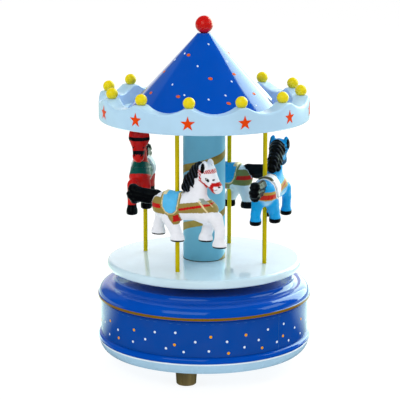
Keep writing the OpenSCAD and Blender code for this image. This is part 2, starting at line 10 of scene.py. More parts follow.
import bpy
import numpy as np
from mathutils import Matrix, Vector


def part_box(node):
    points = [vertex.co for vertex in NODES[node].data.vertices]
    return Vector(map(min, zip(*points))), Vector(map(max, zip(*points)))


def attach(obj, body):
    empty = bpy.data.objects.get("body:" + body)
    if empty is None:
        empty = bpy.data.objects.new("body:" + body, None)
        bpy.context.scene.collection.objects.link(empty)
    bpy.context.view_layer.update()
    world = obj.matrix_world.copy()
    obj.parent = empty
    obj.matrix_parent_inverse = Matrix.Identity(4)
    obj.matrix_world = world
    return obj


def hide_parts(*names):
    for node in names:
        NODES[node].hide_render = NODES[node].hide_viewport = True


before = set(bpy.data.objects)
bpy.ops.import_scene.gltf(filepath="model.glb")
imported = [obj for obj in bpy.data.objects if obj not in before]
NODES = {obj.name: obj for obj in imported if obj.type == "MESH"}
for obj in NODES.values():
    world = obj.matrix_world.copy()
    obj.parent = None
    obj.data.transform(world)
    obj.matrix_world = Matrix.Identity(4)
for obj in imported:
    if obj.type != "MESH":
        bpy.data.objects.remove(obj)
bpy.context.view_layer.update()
MM = 0.001
TAU = 2 * math.pi

# Soft boxes: name, azimuth from the front, elevation, width, height, radiance. The lamps light
# the surfaces, and the cards only show in their gloss.
LAMPS = (
    ("key_left", -35, 46, 0.7, 0.5, 3.4),
    ("fill_right", 50, 35, 0.5, 0.5, 2.0),
    ("side_right", 138, 28, 0.8, 0.8, 6.0),
    ("side_left", -143, 20, 0.5, 0.5, 1.6),
)
CARDS = (
    ("card_front", -22, 30, 0.9, 0.55, 1.3),
    ("card_mid", 84, 26, 0.6, 0.4, 2.0),
    ("card_right", 134, 19, 0.62, 1.22, 4.5),
    ("card_back", 159, 13, 0.42, 0.85, 2.4),
    ("card_left", -140, 20, 0.8, 0.8, 0.15),
)
CARD_TINT = (0.73, 0.97, 0.8)
# Spans: Y of the direction or place, from and to, and the strength of the light there
SKY = (-0.3, 0.35, 0.5, 1.05)
SKY_IN_GLOSS = (0.86, 0.96, 0.01, 1.0)
FLOOR_GLOW = 0.85
FLOOR_IN_GLOSS = (0.018, 0.07, 0.0, 2.4)
FLOOR_FADE = (0.17, 0.24, 1.0, 0.3)  # distance, from and to, and the share of that strength


def top(node):
    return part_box(node)[1].z / MM


def bottom(node):
    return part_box(node)[0].z / MM


def reach(node):
    """Largest X of a node, which is its radius where it is turned about the Z axis."""
    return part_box(node)[1].x / MM


# ---- Materials ----

NOISE_SPAN = (0.3, 0.7)  # nearly all of a noise texture's values lie here


def map_range(tree, source, span):
    """Maps a value through a span: from, to, result there."""
    made = tree.nodes.new("ShaderNodeMapRange")
    for socket, value in zip(("From Min", "From Max", "To Min", "To Max"), span):
        made.inputs[socket].default_value = value
    tree.links.new(source, made.inputs["Value"])
    return made.outputs["Result"]


def linear(c):
    """An sRGB value from 0 to 255 as linear light."""
    c /= 255
    return c / 12.92 if c <= 0.04045 else ((c + 0.055) / 1.055) ** 2.4


def rgb(r, g, b):
    return (linear(r), linear(g), linear(b), 1.0)


WHITE = (1, 1, 1, 1)


class Material:
    """A Principled material whose colour, roughness and relief vary with noise."""

    def __init__(self, name, roughness=0.3, metallic=0.0, coat=0.0, coat_roughness=0.06,
                 specular=0.5):
        self.mat = bpy.data.materials.new(name)
        self.mat.use_nodes = True
        self.tree = self.mat.node_tree
        self.bsdf = self.tree.nodes["Principled BSDF"]
        self.set("Roughness", roughness)
        self.set("Metallic", metallic)
        self.set("Coat Weight", coat)
        self.set("Coat Roughness", coat_roughness)
        self.set("Specular IOR Level", specular)
        self.coord = self.node("ShaderNodeTexCoord").outputs["Object"]
        self.normal = None

    def node(self, kind, **values):
        made = self.tree.nodes.new(kind)
        for key, value in values.items():
            setattr(made, key, value)
        return made

    def link(self, a, b):
        self.tree.links.new(a, b)

    def set(self, socket, value):
        self.bsdf.inputs[socket].default_value = value

    def noise(self, scale, detail, stretch=(1, 1, 1)):
        mapping = self.node("ShaderNodeMapping")
        mapping.inputs["Scale"].default_value = stretch
        tex = self.node("ShaderNodeTexNoise")
        tex.inputs["Scale"].default_value = scale
        tex.inputs["Detail"].default_value = detail
        self.link(self.coord, mapping.inputs["Vector"])
        self.link(mapping.outputs["Vector"], tex.inputs["Vector"])
        return tex.outputs["Fac"]

    def ramp(self, fac, span, dark, light):
        """A colour that goes from dark to light where fac crosses a span."""
        ramp = self.node("ShaderNodeValToRGB")
        for element, position, colour in zip(ramp.color_ramp.elements, span, (dark, light)):
            element.position = position
            element.color = colour
        self.link(fac, ramp.inputs["Fac"])
        return ramp.outputs["Color"]

    def colour(self, dark, light, scale, stretch=(1, 1, 1), span=NOISE_SPAN, detail=4.0):
        fac = self.noise(scale, detail, stretch)
        self.link(self.ramp(fac, span, dark, light), self.bsdf.inputs["Base Color"])
        return self

    def rough(self, low, high, scale=200, stretch=(1, 1, 1)):
        fac = self.noise(scale, 2.0, stretch)
        self.link(map_range(self.tree, fac, (*NOISE_SPAN, low, high)),
                  self.bsdf.inputs["Roughness"])
        return self

    def relief(self, scale, height, stretch=(1, 1, 1), detail=2.0):
        """Bump of a height in millimetres."""
        bump = self.node("ShaderNodeBump")
        bump.inputs["Strength"].default_value = 1.0
        bump.inputs["Distance"].default_value = height * MM
        self.link(self.noise(scale, detail, stretch), bump.inputs["Height"])
        if self.normal is not None:
            self.link(self.normal, bump.inputs["Normal"])
        self.normal = bump.outputs["Normal"]
        self.link(self.normal, self.bsdf.inputs["Normal"])
        return self


def shade(c, k):
    """A colour made k times as bright."""
    return tuple(min(1.0, v * k) for v in c[:3]) + (1.0,)


def lacquer(name, colour, roughness=0.2, coat=0.2, peel=0.008, specular=0.3):
    """Sprayed gloss lacquer on turned wood: slight mottling, and orange peel of a height."""
    made = Material(name, roughness, coat=coat, coat_roughness=0.05, specular=specular)
    made.colour(shade(colour, 0.95), shade(colour, 1.05), scale=55)
    made.rough(roughness * 0.8, roughness * 1.3, scale=140)
    made.relief(22, 0.12, detail=1.0)
    made.relief(520, peel)
    return made.mat


def metal(name, colour, roughness=0.3, stretch=(1, 1, 12)):
    """Turned metal, a little tarnished: its grain is drawn out by stretch."""
    made = Material(name, roughness, metallic=1.0)
    made.colour(shade(colour, 0.75), colour, scale=260, stretch=stretch, span=(0.25, 0.6))
    made.rough(roughness * 0.7, roughness * 1.5, scale=400, stretch=stretch)
    made.relief(900, 0.01, stretch=stretch)
    return made.mat


def plastic(name, colour, roughness=0.45, specular=0.2):
    made = Material(name, roughness, specular=specular)
    made.colour(shade(colour, 0.93), colour, scale=160)
    made.rough(roughness * 0.85, roughness * 1.2, scale=500)
    made.relief(1400, 0.012)
    return made.mat


blue_gloss = lacquer("blue_gloss", rgb(0, 76, 182), roughness=0.1, coat=0.6)
roof_blue = lacquer("roof_blue", rgb(0, 80, 188), roughness=0.12, coat=0.8, specular=0.5)
film_blue = lacquer("film_blue", rgb(0, 70, 160), coat=0.0, peel=0.006, specular=0.35)
pale_blue = lacquer("pale_blue", rgb(166, 204, 228), roughness=0.25)
ice_blue = lacquer("ice_blue", rgb(205, 231, 243), roughness=0.13, coat=0.8, specular=0.5)
rim_blue = lacquer("rim_blue", rgb(178, 214, 238))
teal = lacquer("teal", rgb(114, 190, 218), roughness=0.35, coat=0.1)
red_gloss = lacquer("red_gloss", rgb(200, 16, 12), coat=0.3, peel=0.0005)
bead_yellow = lacquer("bead_yellow", rgb(232, 212, 18), coat=0.3, peel=0.002)
pole_yellow = lacquer("pole_yellow", rgb(206, 186, 2), coat=0.05, specular=0.12)
gold_line = lacquer("gold_line", rgb(128, 94, 6), roughness=0.3, specular=0.15)
# painted highlight for the base plate's top edge
painted_highlight_white = lacquer("painted_highlight_white", rgb(228, 240, 250))
seam_pale = plastic("seam_pale", rgb(30, 96, 176), 0.3)
# partly a glue line, partly painted shade in the corner at the column's foot
glue_and_shade_dark = lacquer("glue_and_shade_dark", rgb(60, 66, 52), roughness=0.5, coat=0.1)
dot_white = plastic("dot_white", rgb(220, 236, 252), 0.3)
dot_orange = plastic("dot_orange", rgb(236, 164, 0), 0.3, specular=0.08)
roof_orange = plastic("roof_orange", rgb(214, 96, 34), 0.3, specular=0.08)
star_red = plastic("star_red", rgb(226, 66, 0), 0.3, specular=0.08)
print_grey = plastic("print_grey", rgb(38, 96, 172), 0.35)
nylon = plastic("nylon", rgb(226, 220, 204))
brass = metal("brass_metal", rgb(205, 160, 78))
steel = metal("steel_metal", rgb(176, 178, 182))
blued = metal("blued_steel", rgb(92, 100, 116), 0.35)
zinc = metal("zinc_cast", rgb(132, 134, 138), 0.5, stretch=(1, 1, 1))

foot_made = Material("foot_bronze", 0.3, coat=0.4)
foot_made.colour(rgb(84, 74, 38), rgb(124, 108, 62), scale=180, stretch=(1, 1, 0.15))
foot_made.rough(0.25, 0.42).relief(420, 0.02, stretch=(1, 1, 0.2))
foot_bronze = foot_made.mat

ribbon_made = Material("ribbon_gold", 0.38, coat=0.1, specular=0.25)
ribbon_made.colour(rgb(128, 106, 34), rgb(178, 160, 78), scale=90, detail=6.0)
ribbon_made.rough(0.3, 0.5).relief(700, 0.015)
ribbon_gold = ribbon_made.mat

wood_made = Material("bare_wood", 0.6)
wood_made.colour(rgb(176, 132, 84), rgb(214, 176, 124), scale=120, stretch=(1, 1, 0.1))
wood_made.relief(500, 0.03, stretch=(1, 1, 0.1))
bare_wood = wood_made.mat


def paint_material(name):
    """Hand paint whose colour comes from the mesh's own paint attribute."""
    made = Material(name, 0.3, coat=0.04, coat_roughness=0.1)
    attribute = made.node("ShaderNodeAttribute", attribute_name="paint")
    # the black shines less than the colours
    made.link(map_range(made.tree, attribute.outputs["Fac"], (0, 0.08, 0.08, 0.2)),
              made.bsdf.inputs["Specular IOR Level"])
    mix = made.node("ShaderNodeMix", data_type="RGBA", blend_type="MULTIPLY")
    mix.inputs["Factor"].default_value = 1.0
    tone = made.ramp(made.noise(260, 4.0), NOISE_SPAN, shade(WHITE, 0.9), WHITE)
    made.link(attribute.outputs["Color"], mix.inputs["A"])
    made.link(tone, mix.inputs["B"])
    made.link(mix.outputs["Result"], made.bsdf.inputs["Base Color"])
    made.rough(0.24, 0.42, scale=300)
    made.relief(650, 0.04)
    return made.mat


# ---- Mesh helpers ----


def build(name, verts, faces, mats, face_mats=None, sharp=math.radians(40)):
    """A smooth-shaded object from vertices in millimetres."""
    mesh = bpy.data.meshes.new(name)
    mesh.from_pydata((np.asarray(verts, float) * MM).tolist(), [], faces)
    for mat in mats:
        mesh.materials.append(mat)
    if face_mats is not None:
        mesh.polygons.foreach_set("material_index", face_mats)
    mesh.polygons.foreach_set("use_smooth", [True] * len(mesh.polygons))
    if sharp:
        mesh.set_sharp_from_angle(angle=sharp)
    mesh.validate()
    made = bpy.data.objects.new(name, mesh)
    bpy.context.scene.collection.objects.link(made)
    return made


def place(piece, body, slot, *nodes):
    """Puts a piece on its body, for the CAD nodes that it stands in for, if any."""
    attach(piece, body)
    if nodes:
        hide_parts(*nodes)


ARC_STEPS = 6


def rounded(corners):
    """Rounds a chain of (r, z, radius) corners into (r, z) points."""
    points = []
    for i, (r, z, radius) in enumerate(corners):
        p = np.array((r, z), float)
        if radius == 0:
            points.append(p)
            continue
        a = np.array(corners[i - 1][:2], float) - p
        b = np.array(corners[i + 1][:2], float) - p
        a, b = a / np.linalg.norm(a), b / np.linalg.norm(b)
        half = math.acos(np.clip(a @ b, -1, 1)) / 2
        cut = radius / math.tan(half)
        centre = p + (a + b) / np.linalg.norm(a + b) * radius / math.sin(half)
        start, end = p + a * cut - centre, p + b * cut - centre
        sweep = math.atan2(start[0] * end[1] - start[1] * end[0], start @ end)
        for k in range(ARC_STEPS + 1):
            t = sweep * k / ARC_STEPS
            turn = np.array([[math.cos(t), -math.sin(t)], [math.sin(t), math.cos(t)]])
            points.append(centre + turn @ start)
    return points


def turned(name, corners, mats, stripe=None, segments=160, closed=False):
    """Turns rounded corners about the Z axis. stripe(a, b) picks the material of a span."""
    points = rounded(corners)
    verts, faces, face_mats, rings = [], [], [], []
    for r, z in points:
        if r < 1e-6:
            rings.append([len(verts)])
            verts.append((0, 0, z))
            continue
        rings.append(list(range(len(verts), len(verts) + segments)))
        for k in range(segments):
            a = TAU * k / segments
            verts.append((r * math.cos(a), r * math.sin(a), z))
    spans = list(zip(rings, rings[1:])) + ([(rings[-1], rings[0])] if closed else [])
    for i, (low, high) in enumerate(spans):
        mat = stripe(points[i], points[(i + 1) % len(points)]) if stripe else 0
        for k in range(segments):
            n = (k + 1) % segments
            if len(low) == 1:
                faces.append((low[0], high[n], high[k]))
            elif len(high) == 1:
                faces.append((low[k], low[n], high[0]))
            else:
                faces.append((low[k], low[n], high[n], high[k]))
            face_mats.append(mat)
    return build(name, verts, faces, mats, face_mats)


def at_turn(turn, r, z):
    """A place counted from the front, as the CAD model counts it."""
    a = math.radians(turn)
    return Vector((r * math.sin(a), -r * math.cos(a), z))


# ---- Base ----

plate_high = top("base_plate")
cover_low, cover_high = top("base_drum"), top("base_cover")
base_r = reach("base_drum")
wall_r = reach("print_sleeve")

drum_foot, sleeve_low = bottom("base_drum"), bottom("print_sleeve")
drum = turned("drum", [
    (49.3, cover_low, 0), (49.3, plate_high, 0), (base_r - 1.4, plate_high, 0),
    (base_r - 1.4, drum_foot, 0), (base_r - 0.5, drum_foot, 0.4),
    (base_r + 0.1, drum_foot + 1.0, 0.9), (base_r - 0.4, sleeve_low - 0.6, 1.2),
    (wall_r, sleeve_low - 0.2, 0.3), (wall_r - 0.3, sleeve_low - 0.1, 0.1),
    (wall_r - 0.3, cover_low, 0)], [blue_gloss], closed=True)
place(drum, "base", "blue_lacquer", "base_drum")

GOLD_LOW, GOLD_HIGH = cover_low + 0.85, cover_low + 2.3


def cover_stripe(a, b):
    """The gold line, outside and between its two heights."""
    middle = (a[1] + b[1]) / 2
    return 1 if GOLD_LOW < middle < GOLD_HIGH and min(a[0], b[0]) > wall_r - 0.2 else 0


cover = turned("cover", [
    (46, cover_low - 1.2, 0), (49.1, cover_low - 1.2, 0), (49.1, cover_low, 0),
    (wall_r - 0.3, cover_low, 0), (wall_r - 0.2, cover_low + 0.6, 0.1),
    (base_r, cover_low + 0.7, 0.7), (base_r, cover_low + 2.4, 0.7),
    (base_r - 0.6, cover_low + 2.5, 0.1), (base_r - 0.6, cover_low + 7.4, 4.9),
    (45.8, cover_low + 7.45, 3.0), (45.8, cover_high, 0.3),
    (5.0, cover_high, 0.2), (5.0, cover_high - 3, 0), (42.8, cover_high - 3, 0)],
    [blue_gloss, gold_line], stripe=cover_stripe, closed=True)
place(cover, "base", "blue_lacquer", "base_cover")

plate_r = reach("base_plate")
# Painted highlight: a thin white ring along the plate's top edge, under the drum
edge = turned("plate_edge_highlight", [
    (53.0, drum_foot - 0.7, 0), (plate_r + 0.02, drum_foot - 0.8, 0.1),
    (plate_r + 0.12, drum_foot - 0.02, 0.2), (53.0, drum_foot - 0.02, 0)],
    [painted_highlight_white], closed=True)
place(edge, "base", "pale_blue_lacquer")

# The film is wrapped round once, and its end overlaps its start in a faint line
sleeve_high = top("print_sleeve")
film_in = wall_r - 0.28
SEAM_TURN = 44.0
sleeve = turned("sleeve", [
    (film_in, sleeve_low, 0), (wall_r, sleeve_low, 0.02), (wall_r, sleeve_high, 0.02),
    (film_in, sleeve_high, 0)], [film_blue], segments=200, closed=True)
place(sleeve, "base", "printed_film", "print_sleeve")


def overlap(turn):
    """The film's end, as a low step from top to bottom."""
    verts = []
    for step, lift in ((0, -0.05), (0.02, 0.07), (0.16, 0.07), (0.32, -0.05)):
        for z in (sleeve_low + 0.05, sleeve_high - 0.05):
            verts.append(at_turn(turn + step, wall_r + lift, z))
    return build("sleeve_seam", verts, [(k, k + 2, k + 3, k + 1) for k in (0, 2, 4)]
                 + [(0, 1, 7, 6)], [seam_pale])


place(overlap(SEAM_TURN), "base", "printed_film")


class Decals:
    """Small printed discs gathered in one mesh."""

    steps = 14

    def __init__(self):
        self.verts, self.faces, self.mats = [], [], []

    def disc(self, centre, normal, up, rx, ry, mat, proud=0.05):
        """An ellipse of radii rx and ry, its edge sunk and its middle proud."""
        normal = Vector(normal).normalized()
        side = Vector(up).cross(normal).normalized()
        up = normal.cross(side)
        first = len(self.verts)
        for radius, lift in ((1.0, -0.03), (0.94, proud), (0.0, proud * 1.3)):
            steps = self.steps if radius else 1
            for k in range(steps):
                a = TAU * k / self.steps
                self.verts.append(centre + side * (rx * radius * math.cos(a))
                                  + up * (ry * radius * math.sin(a)) + normal * lift)
        for k in range(self.steps):
            n = (k + 1) % self.steps
            a, b = first + k, first + n
            self.faces += [(a, b, b + self.steps, a + self.steps),
                           (a + self.steps, b + self.steps, first + 2 * self.steps)]
            self.mats += [mat, mat]

    def make(self, name, mats):
        return build(name, self.verts, self.faces, mats, self.mats)


# The film's print repeats this run of dots: degrees on from the last, height, is it orange
PRINT_RUN = ((0, 21.2, 0), (0.8, 27.4, 1), (7.7, 23.9, 0), (6.0, 28.4, 0), (6.5, 20.8, 0),
             (4.8, 23.0, 1), (0.5, 29.2, 0), (4.5, 19.6, 0), (6.2, 24.9, 0), (7.2, 20.2, 0),
             (1.0, 27.5, 1), (8.7, 24.8, 0))
RUN_STARTS = (-171, -108.2, -41.7, 21.9, 85, 148)
# and these orange dots stand apart from it: turn, height
LONE_DOTS = ((-160, 19.5), (-117, 18.8), (-53.6, 20.7), (13, 18.8), (32.6, 19.5), (95.5, 19.5),
             (139, 18.8))
LAST_DOT = 187  # the print ends at this turn
DOT_R = 0.65
DASHES, DASH_GROUP = 80, 4  # the last dash of each group is left out
sleeve_dots = Decals()
dots = [(turn, z, 1) for turn, z in LONE_DOTS]
for turn in RUN_STARTS:
    for step, z, orange in PRINT_RUN:
        turn += step
        if turn < LAST_DOT:
            dots.append((turn, z, orange))
for turn, z, orange in dots:
    radius = DOT_R + 0.1 * orange
    sleeve_dots.disc(at_turn(turn, wall_r, z), at_turn(turn, 1, 0), (0, 0, 1),
                     radius, radius, orange)
dash_z = sleeve_high - 1.1
for i in range(DASHES):
    if i % DASH_GROUP == DASH_GROUP - 1:
        continue
    turn = 360 * i / DASHES
    sleeve_dots.disc(at_turn(turn, wall_r, dash_z), at_turn(turn, 1, 0), (0, 0, 1),
                     1.1, 0.09, 2, proud=0.02)
place(sleeve_dots.make("sleeve_dots", [dot_white, dot_orange, print_grey]), "base",
      "printed_film")

# ---- Carousel ----

deck_low, deck_high = bottom("platform"), top("platform")
canopy_low, roof_low = bottom("canopy_rim"), bottom("roof_cone")
platform_r, column_r = reach("platform"), reach("column")

platform = turned("platform_disc", [
    (0, deck_low, 0), (platform_r, deck_low, 1.5), (platform_r, deck_high, 1.5),
    (0, deck_high, 0)], [ice_blue])
place(platform, "carousel", "ice_blue_lacquer", "platform")

column = turned("column_post", [
    (0, deck_high, 0), (column_r, deck_high, 0.35), (column_r, canopy_low, 0.2),
    (0, canopy_low, 0)], [teal])
place(column, "carousel", "teal_lacquer", "column")

# A dark ring where the column stands on the deck: partly its glue line, partly painted shade in
# that corner
glue_and_shade_ring = turned("column_glue_and_shade", [
    (column_r - 0.6, deck_high, 0), (column_r + 0.12, deck_high, 0.05),
    (column_r + 0.1, deck_high + 0.35, 0.1), (column_r - 0.6, deck_high + 0.4, 0)],
    [glue_and_shade_dark], closed=True)
place(glue_and_shade_ring, "carousel", "teal_lacquer")

RIBBON_STEPS = 96  # to a turn
RIBBON_CLIMB, RIBBON_SWAY = 30, 2.2
# The ribbon's first part lies no lower than a plain helix: turn where it ends, height, climb
RIBBON_START = (270, 3.8, 27.9)


def ribbon(name, z0, turns):
    """A painted band that climbs the column."""
    verts, faces = [], []
    steps = int(turns * RIBBON_STEPS)
    half, sunk, lift, chamfer = 2.0, 0.05, 0.06, 0.08
    start_turn, start_z, start_climb = RIBBON_START
    for i in range(steps + 1):
        turn = 360 * i / RIBBON_STEPS
        a = math.radians(turn)
        z = z0 + RIBBON_CLIMB * turn / 360 - RIBBON_SWAY * math.sin(a)
        if turn < start_turn:
            z = max(z, z0 + start_z + start_climb * turn / 360)
        wide = half * (1 + 0.1 * math.sin(3 * a))
        for r, dz in ((column_r - sunk, -wide), (column_r + lift, -wide + chamfer),
                      (column_r + lift, wide - chamfer), (column_r - sunk, wide)):
            verts.append(at_turn(turn, r, min(max(z + dz, deck_high + 0.3), canopy_low - 0.2)))
    for i in range(steps):
        a = 4 * i
        faces += [(a + k, a + 4 + k, a + 5 + k, a + 1 + k) for k in range(3)]
    return build(name, verts, faces, [ribbon_gold])


place(ribbon("column_ribbon", 46.0, 2.7), "carousel", "teal_lacquer")

# Canopy: a flat deck inside a scalloped wall
CRESTS, CREST_TURN, RIM_WALL = 12, -8.5, 8.1
rim_r = reach("canopy_rim")
rim_in = rim_r - RIM_WALL
crest_z, valley_z, scallop_r = canopy_low + 13, canopy_low + 9.5, 19.0
rim_mid = (rim_r + rim_in) / 2 - 0.3


def rim_top(turn):
    """Height of the wall at a turn: round valleys between short level crests."""
    share = ((turn - CREST_TURN) / (360 / CRESTS)) % 1.0 - 0.5
    across = share * TAU * rim_mid / CRESTS
    if abs(across) >= scallop_r:
        return crest_z
    cut = valley_z + scallop_r - math.sqrt(scallop_r ** 2 - across ** 2)
    gap = crest_z - cut
    blend = 0.35  # softens the corner where a valley meets a crest
    return crest_z - 0.5 * (gap + math.sqrt(gap * gap + blend ** 2)) + 0.5 * blend * 0.3


def canopy():
    """The canopy's section, swept round with the wall's height at each turn."""
    columns = CRESTS * 30
    verts, faces, count = [], [], 0
    for i in range(columns):
        turn = 360 * i / columns
        z = rim_top(turn)
        chain = rounded([
            (1.6, canopy_low, 0), (rim_r, canopy_low, 1.3), (rim_r, z, 1.1),
            (rim_in, z, 0.9), (rim_in, roof_low, 0.6), (1.6, roof_low, 0)])
        count = len(chain)
        verts += [at_turn(turn, r, h) for r, h in chain]
    for i in range(columns):
        n = (i + 1) % columns
        for k in range(count):
            m = (k + 1) % count
            faces.append((i * count + k, n * count + k, n * count + m, i * count + m))
    return build("canopy_scalloped", verts, faces, [rim_blue])


place(canopy(), "carousel", "rim_blue_lacquer", "canopy_rim")

cone_r, cone_high = reach("roof_cone"), top("roof_cone")
TIP_R, PIN_R, PIN_DEEP = 3.3, 1.25, 8
EAVE_THICK, ROOF_HOLLOW = 0.15, 2.5
eave = roof_low + EAVE_THICK
cone = turned("cone_shell", [
    (0, cone_high - PIN_DEEP, 0), (PIN_R, cone_high - PIN_DEEP, 0), (PIN_R, cone_high, 0),
    (TIP_R, cone_high, 0.3), (cone_r, eave, 0.3), (cone_r, roof_low, 0.1),
    (4, roof_low, 0), (4, roof_low + ROOF_HOLLOW, 0), (0, roof_low + ROOF_HOLLOW, 0)],
    [roof_blue], segments=200)
place(cone, "carousel", "blue_lacquer", "roof_cone")

# The roof's print, in three like sectors: turn, height, is it orange
ROOF_RUN = ((-63.5, 142.7, 1), (-53.1, 161.7, 0), (-38.9, 147.8, 0), (-38.5, 161.3, 1),
            (-25.7, 142.9, 1), (-19.7, 143.7, 0), (-11.1, 156.6, 0), (4.1, 142.0, 0),
            (8.0, 151.1, 1), (16.3, 166.4, 0), (21.2, 143.5, 0), (21.9, 140.0, 1),
            (35.1, 149.3, 0), (45.4, 152.3, 1), (48.3, 158.2, 0), (48.8, 137.7, 0))
SECTORS = 3
roof_dots = Decals()
flare = math.atan2(cone_high - eave, cone_r - TIP_R)
for sector in range(SECTORS):
    for turn, z, orange in ROOF_RUN:
        turn += 360 // SECTORS * sector
        r = cone_r - (z - eave) / math.tan(flare)
        out = at_turn(turn, math.sin(flare), math.cos(flare))
        if orange:
            roof_dots.disc(at_turn(turn, r, z), out, (0.25, 0, 1), 1.15, 0.85, 1)
        else:
            roof_dots.disc(at_turn(turn, r, z), out, (-0.4, 0, 1), 0.45, 0.65, 0)
place(roof_dots.make("roof_dots", [dot_white, roof_orange]), "carousel", "blue_lacquer")


def balls(name, spots, radius, cut_z, mat):
    """Turned balls that stand on a flat cut at the height cut_z."""
    verts, faces = [], []
    rows, segments = 20, 40
    low = math.asin((cut_z - spots[0].z) / radius)
    for spot in spots:
        first = len(verts)
        for i in range(rows):
            a = low + (math.pi / 2 - low) * i / rows
            for k in range(segments):
                b = TAU * k / segments
                verts.append(spot + radius * Vector((
                    math.cos(a) * math.cos(b), math.cos(a) * math.sin(b), math.sin(a))))
        verts.append(spot + Vector((0, 0, radius)))
        crown = len(verts) - 1
        for i in range(rows - 1):
            for k in range(segments):
                n = (k + 1) % segments
                a, b = first + i * segments, first + (i + 1) * segments
                faces.append((a + k, a + n, b + n, b + k))
        last = first + (rows - 1) * segments
        faces += [(last + k, last + (k + 1) % segments, crown) for k in range(segments)]
        faces.append([first + k for k in reversed(range(segments))])
    return build(name, verts, faces, [mat])


BEAD_R, BEAD_INSET, FINIAL_R = 3.0, 4.35, 4.5
bead_z = top("rim_beads") - BEAD_R
bead_spots = [at_turn(CREST_TURN + 360 // CRESTS * i, rim_r - BEAD_INSET, bead_z)
              for i in range(CRESTS)]
beads = balls("beads", bead_spots, BEAD_R, bottom("rim_beads"), bead_yellow)
place(beads, "carousel", "bead_yellow", "rim_beads")
finial = balls("finial", [Vector((0, 0, top("finial_ball") - FINIAL_R))], FINIAL_R, cone_high,
               red_gloss)
place(finial, "carousel", "red_lacquer", "finial_ball")

# ---- Horses ----
# Local frame: +x forward, +y towards the middle of the carousel, z = 0 under the lowest hoof.


def turned_about(points, axis, degrees):
    """Points turned about the X, Y or Z axis."""
    c, s = math.cos(math.radians(degrees)), math.sin(math.radians(degrees))
    i, j = ((1, 2), (2, 0), (0, 1))[axis]
    out = points.copy()
    out[:, i] = c * points[:, i] - s * points[:, j]
    out[:, j] = s * points[:, i] + c * points[:, j]
    return out


def capsule(p, a, b, ra, rb, w=1.0):
    """Distance to a tapered rod, w times as wide as tall."""
    q = p / (1, w, 1)
    a, b = np.array(a, float) / (1, w, 1), np.array(b, float) / (1, w, 1)
    ab = b - a
    t = np.clip((q - a) @ ab / (ab @ ab), 0, 1)
    return (np.linalg.norm(q - a - t[:, None] * ab, axis=1) - (ra + (rb - ra) * t)) * min(w, 1)


def egg(p, c, r):
    """Distance, nearly, to an ellipsoid with radii r."""
    q = (p - c) / r
    k = np.linalg.norm(q, axis=1)
    g = np.linalg.norm(q / r, axis=1)
    return k * (k - 1) / np.maximum(g, 1e-6)


def join(a, b, k):
    """The union of two shapes, with a fillet about k wide."""
    h = np.clip(0.5 + 0.5 * (b - a) / k, 0, 1)
    return b + (a - b) * h - k * h * (1 - h)


def cut(a, b, k):
    """What two shapes share, with a rounded edge."""
    return -join(-a, -b, k)


FAR = 1e9


def stroke(p, points, half):
    """Distance in the side view (x, z) to a painted line of a half width."""
    x, z = p[:, 0], p[:, 2]
    best = np.full(len(p), FAR)
    for (ax, az), (bx, bz) in zip(points, points[1:]):
        ex, ez = bx - ax, bz - az
        t = np.clip(((x - ax) * ex + (z - az) * ez) / (ex * ex + ez * ez), 0, 1)
        best = np.minimum(best, np.hypot(x - ax - t * ex, z - az - t * ez))
    return best - half


def outline(p, corners):
    """Distance in the side view to a polygon, negative inside."""
    x, z = p[:, 0], p[:, 2]
    ring = corners + corners[:1]
    inside = np.zeros(len(p), bool)
    for (ax, az), (bx, bz) in zip(ring, ring[1:]):
        if az != bz:
            crosses = (az > z) != (bz > z)
            inside ^= crosses & (x < ax + (z - az) * (bx - ax) / (bz - az))
    best = stroke(p, ring, 0)
    return np.where(inside, -best, best)


# Hip or shoulder, knee, hoof, height of the hoof's underside, and the radii down the leg
LEGS = (
    ((-9.0, 2.6, 14.5), (-11.2, 2.8, 8.5), (-11.5, 2.6, 5.4), 3.2, (3.6, 2.6, 2.7)),
    ((-2.8, -2.8, 13.6), (0.4, -3.5, 8.0), (1.8, -3.7, 4.6), 2.0, (4.0, 3.0, 3.0)),
    ((17.2, 2.6, 13.5), (15.4, 3.1, 8.0), (14.1, 3.2, 4.2), 1.6, (3.6, 2.8, 2.9)),
    ((22.2, -2.6, 15.0), (24.6, -3.1, 10.0), (24.3, -3.2, 3.4), 0.6, (3.6, 2.5, 2.6)),
)
HOOF = (3.7, 2.9, 3.4)
# Outlines and lines in the side view, as (x, z)
SADDLE = [(-5.4, 26.0), (-6.2, 30.0), (2.2, 30.0), (2.1, 26.5), (2.3, 21.4), (1.8, 18.2),
          (0.1, 16.6), (-1.6, 16.6), (-3.4, 17.4), (-4.9, 19.8)]
MANE = [(14.2, 45.0), (13.0, 41.0), (13.2, 38.0), (12.8, 35.0), (11.0, 34.7), (10.4, 29.9),
        (8.9, 31.0), (8.0, 27.4), (5.6, 27.4), (3.6, 27.8), (1.0, 28.6), (1.0, 45.0)]
DRAPE = [(-3.4, 17.8), (2.9, 18.0), (3.9, 13.4), (2.9, 11.2), (0.7, 10.9), (-1.6, 14.0)]
TASSEL = [(0.1, 15.6), (2.9, 15.8), (3.7, 12.4), (0.6, 12.1)]
CHEST_PATCH = [(13.6, 24.4), (17.2, 24.6), (19.6, 22.2), (15.6, 22.0)]
CORDS = ([(13.3, 23.6), (18.7, 18.3)], [(16.6, 24.4), (22.8, 19.2)])
CHEEK_STRAP = [(14.6, 38.2), (13.8, 33.4)]
NOSEBAND = ([(13.8, 32.8), (16.4, 30.6), (18.8, 29.4), (20.4, 27.6)],
            [(18.8, 29.2), (20.8, 32.0), (24.6, 32.2)])
NOSE_PATCH = [(17.2, 30.2), (20.4, 26.6), (21.4, 29.6), (19.6, 31.0)]
MOUTH = [(21.6, 29.0), (23.0, 29.6)]
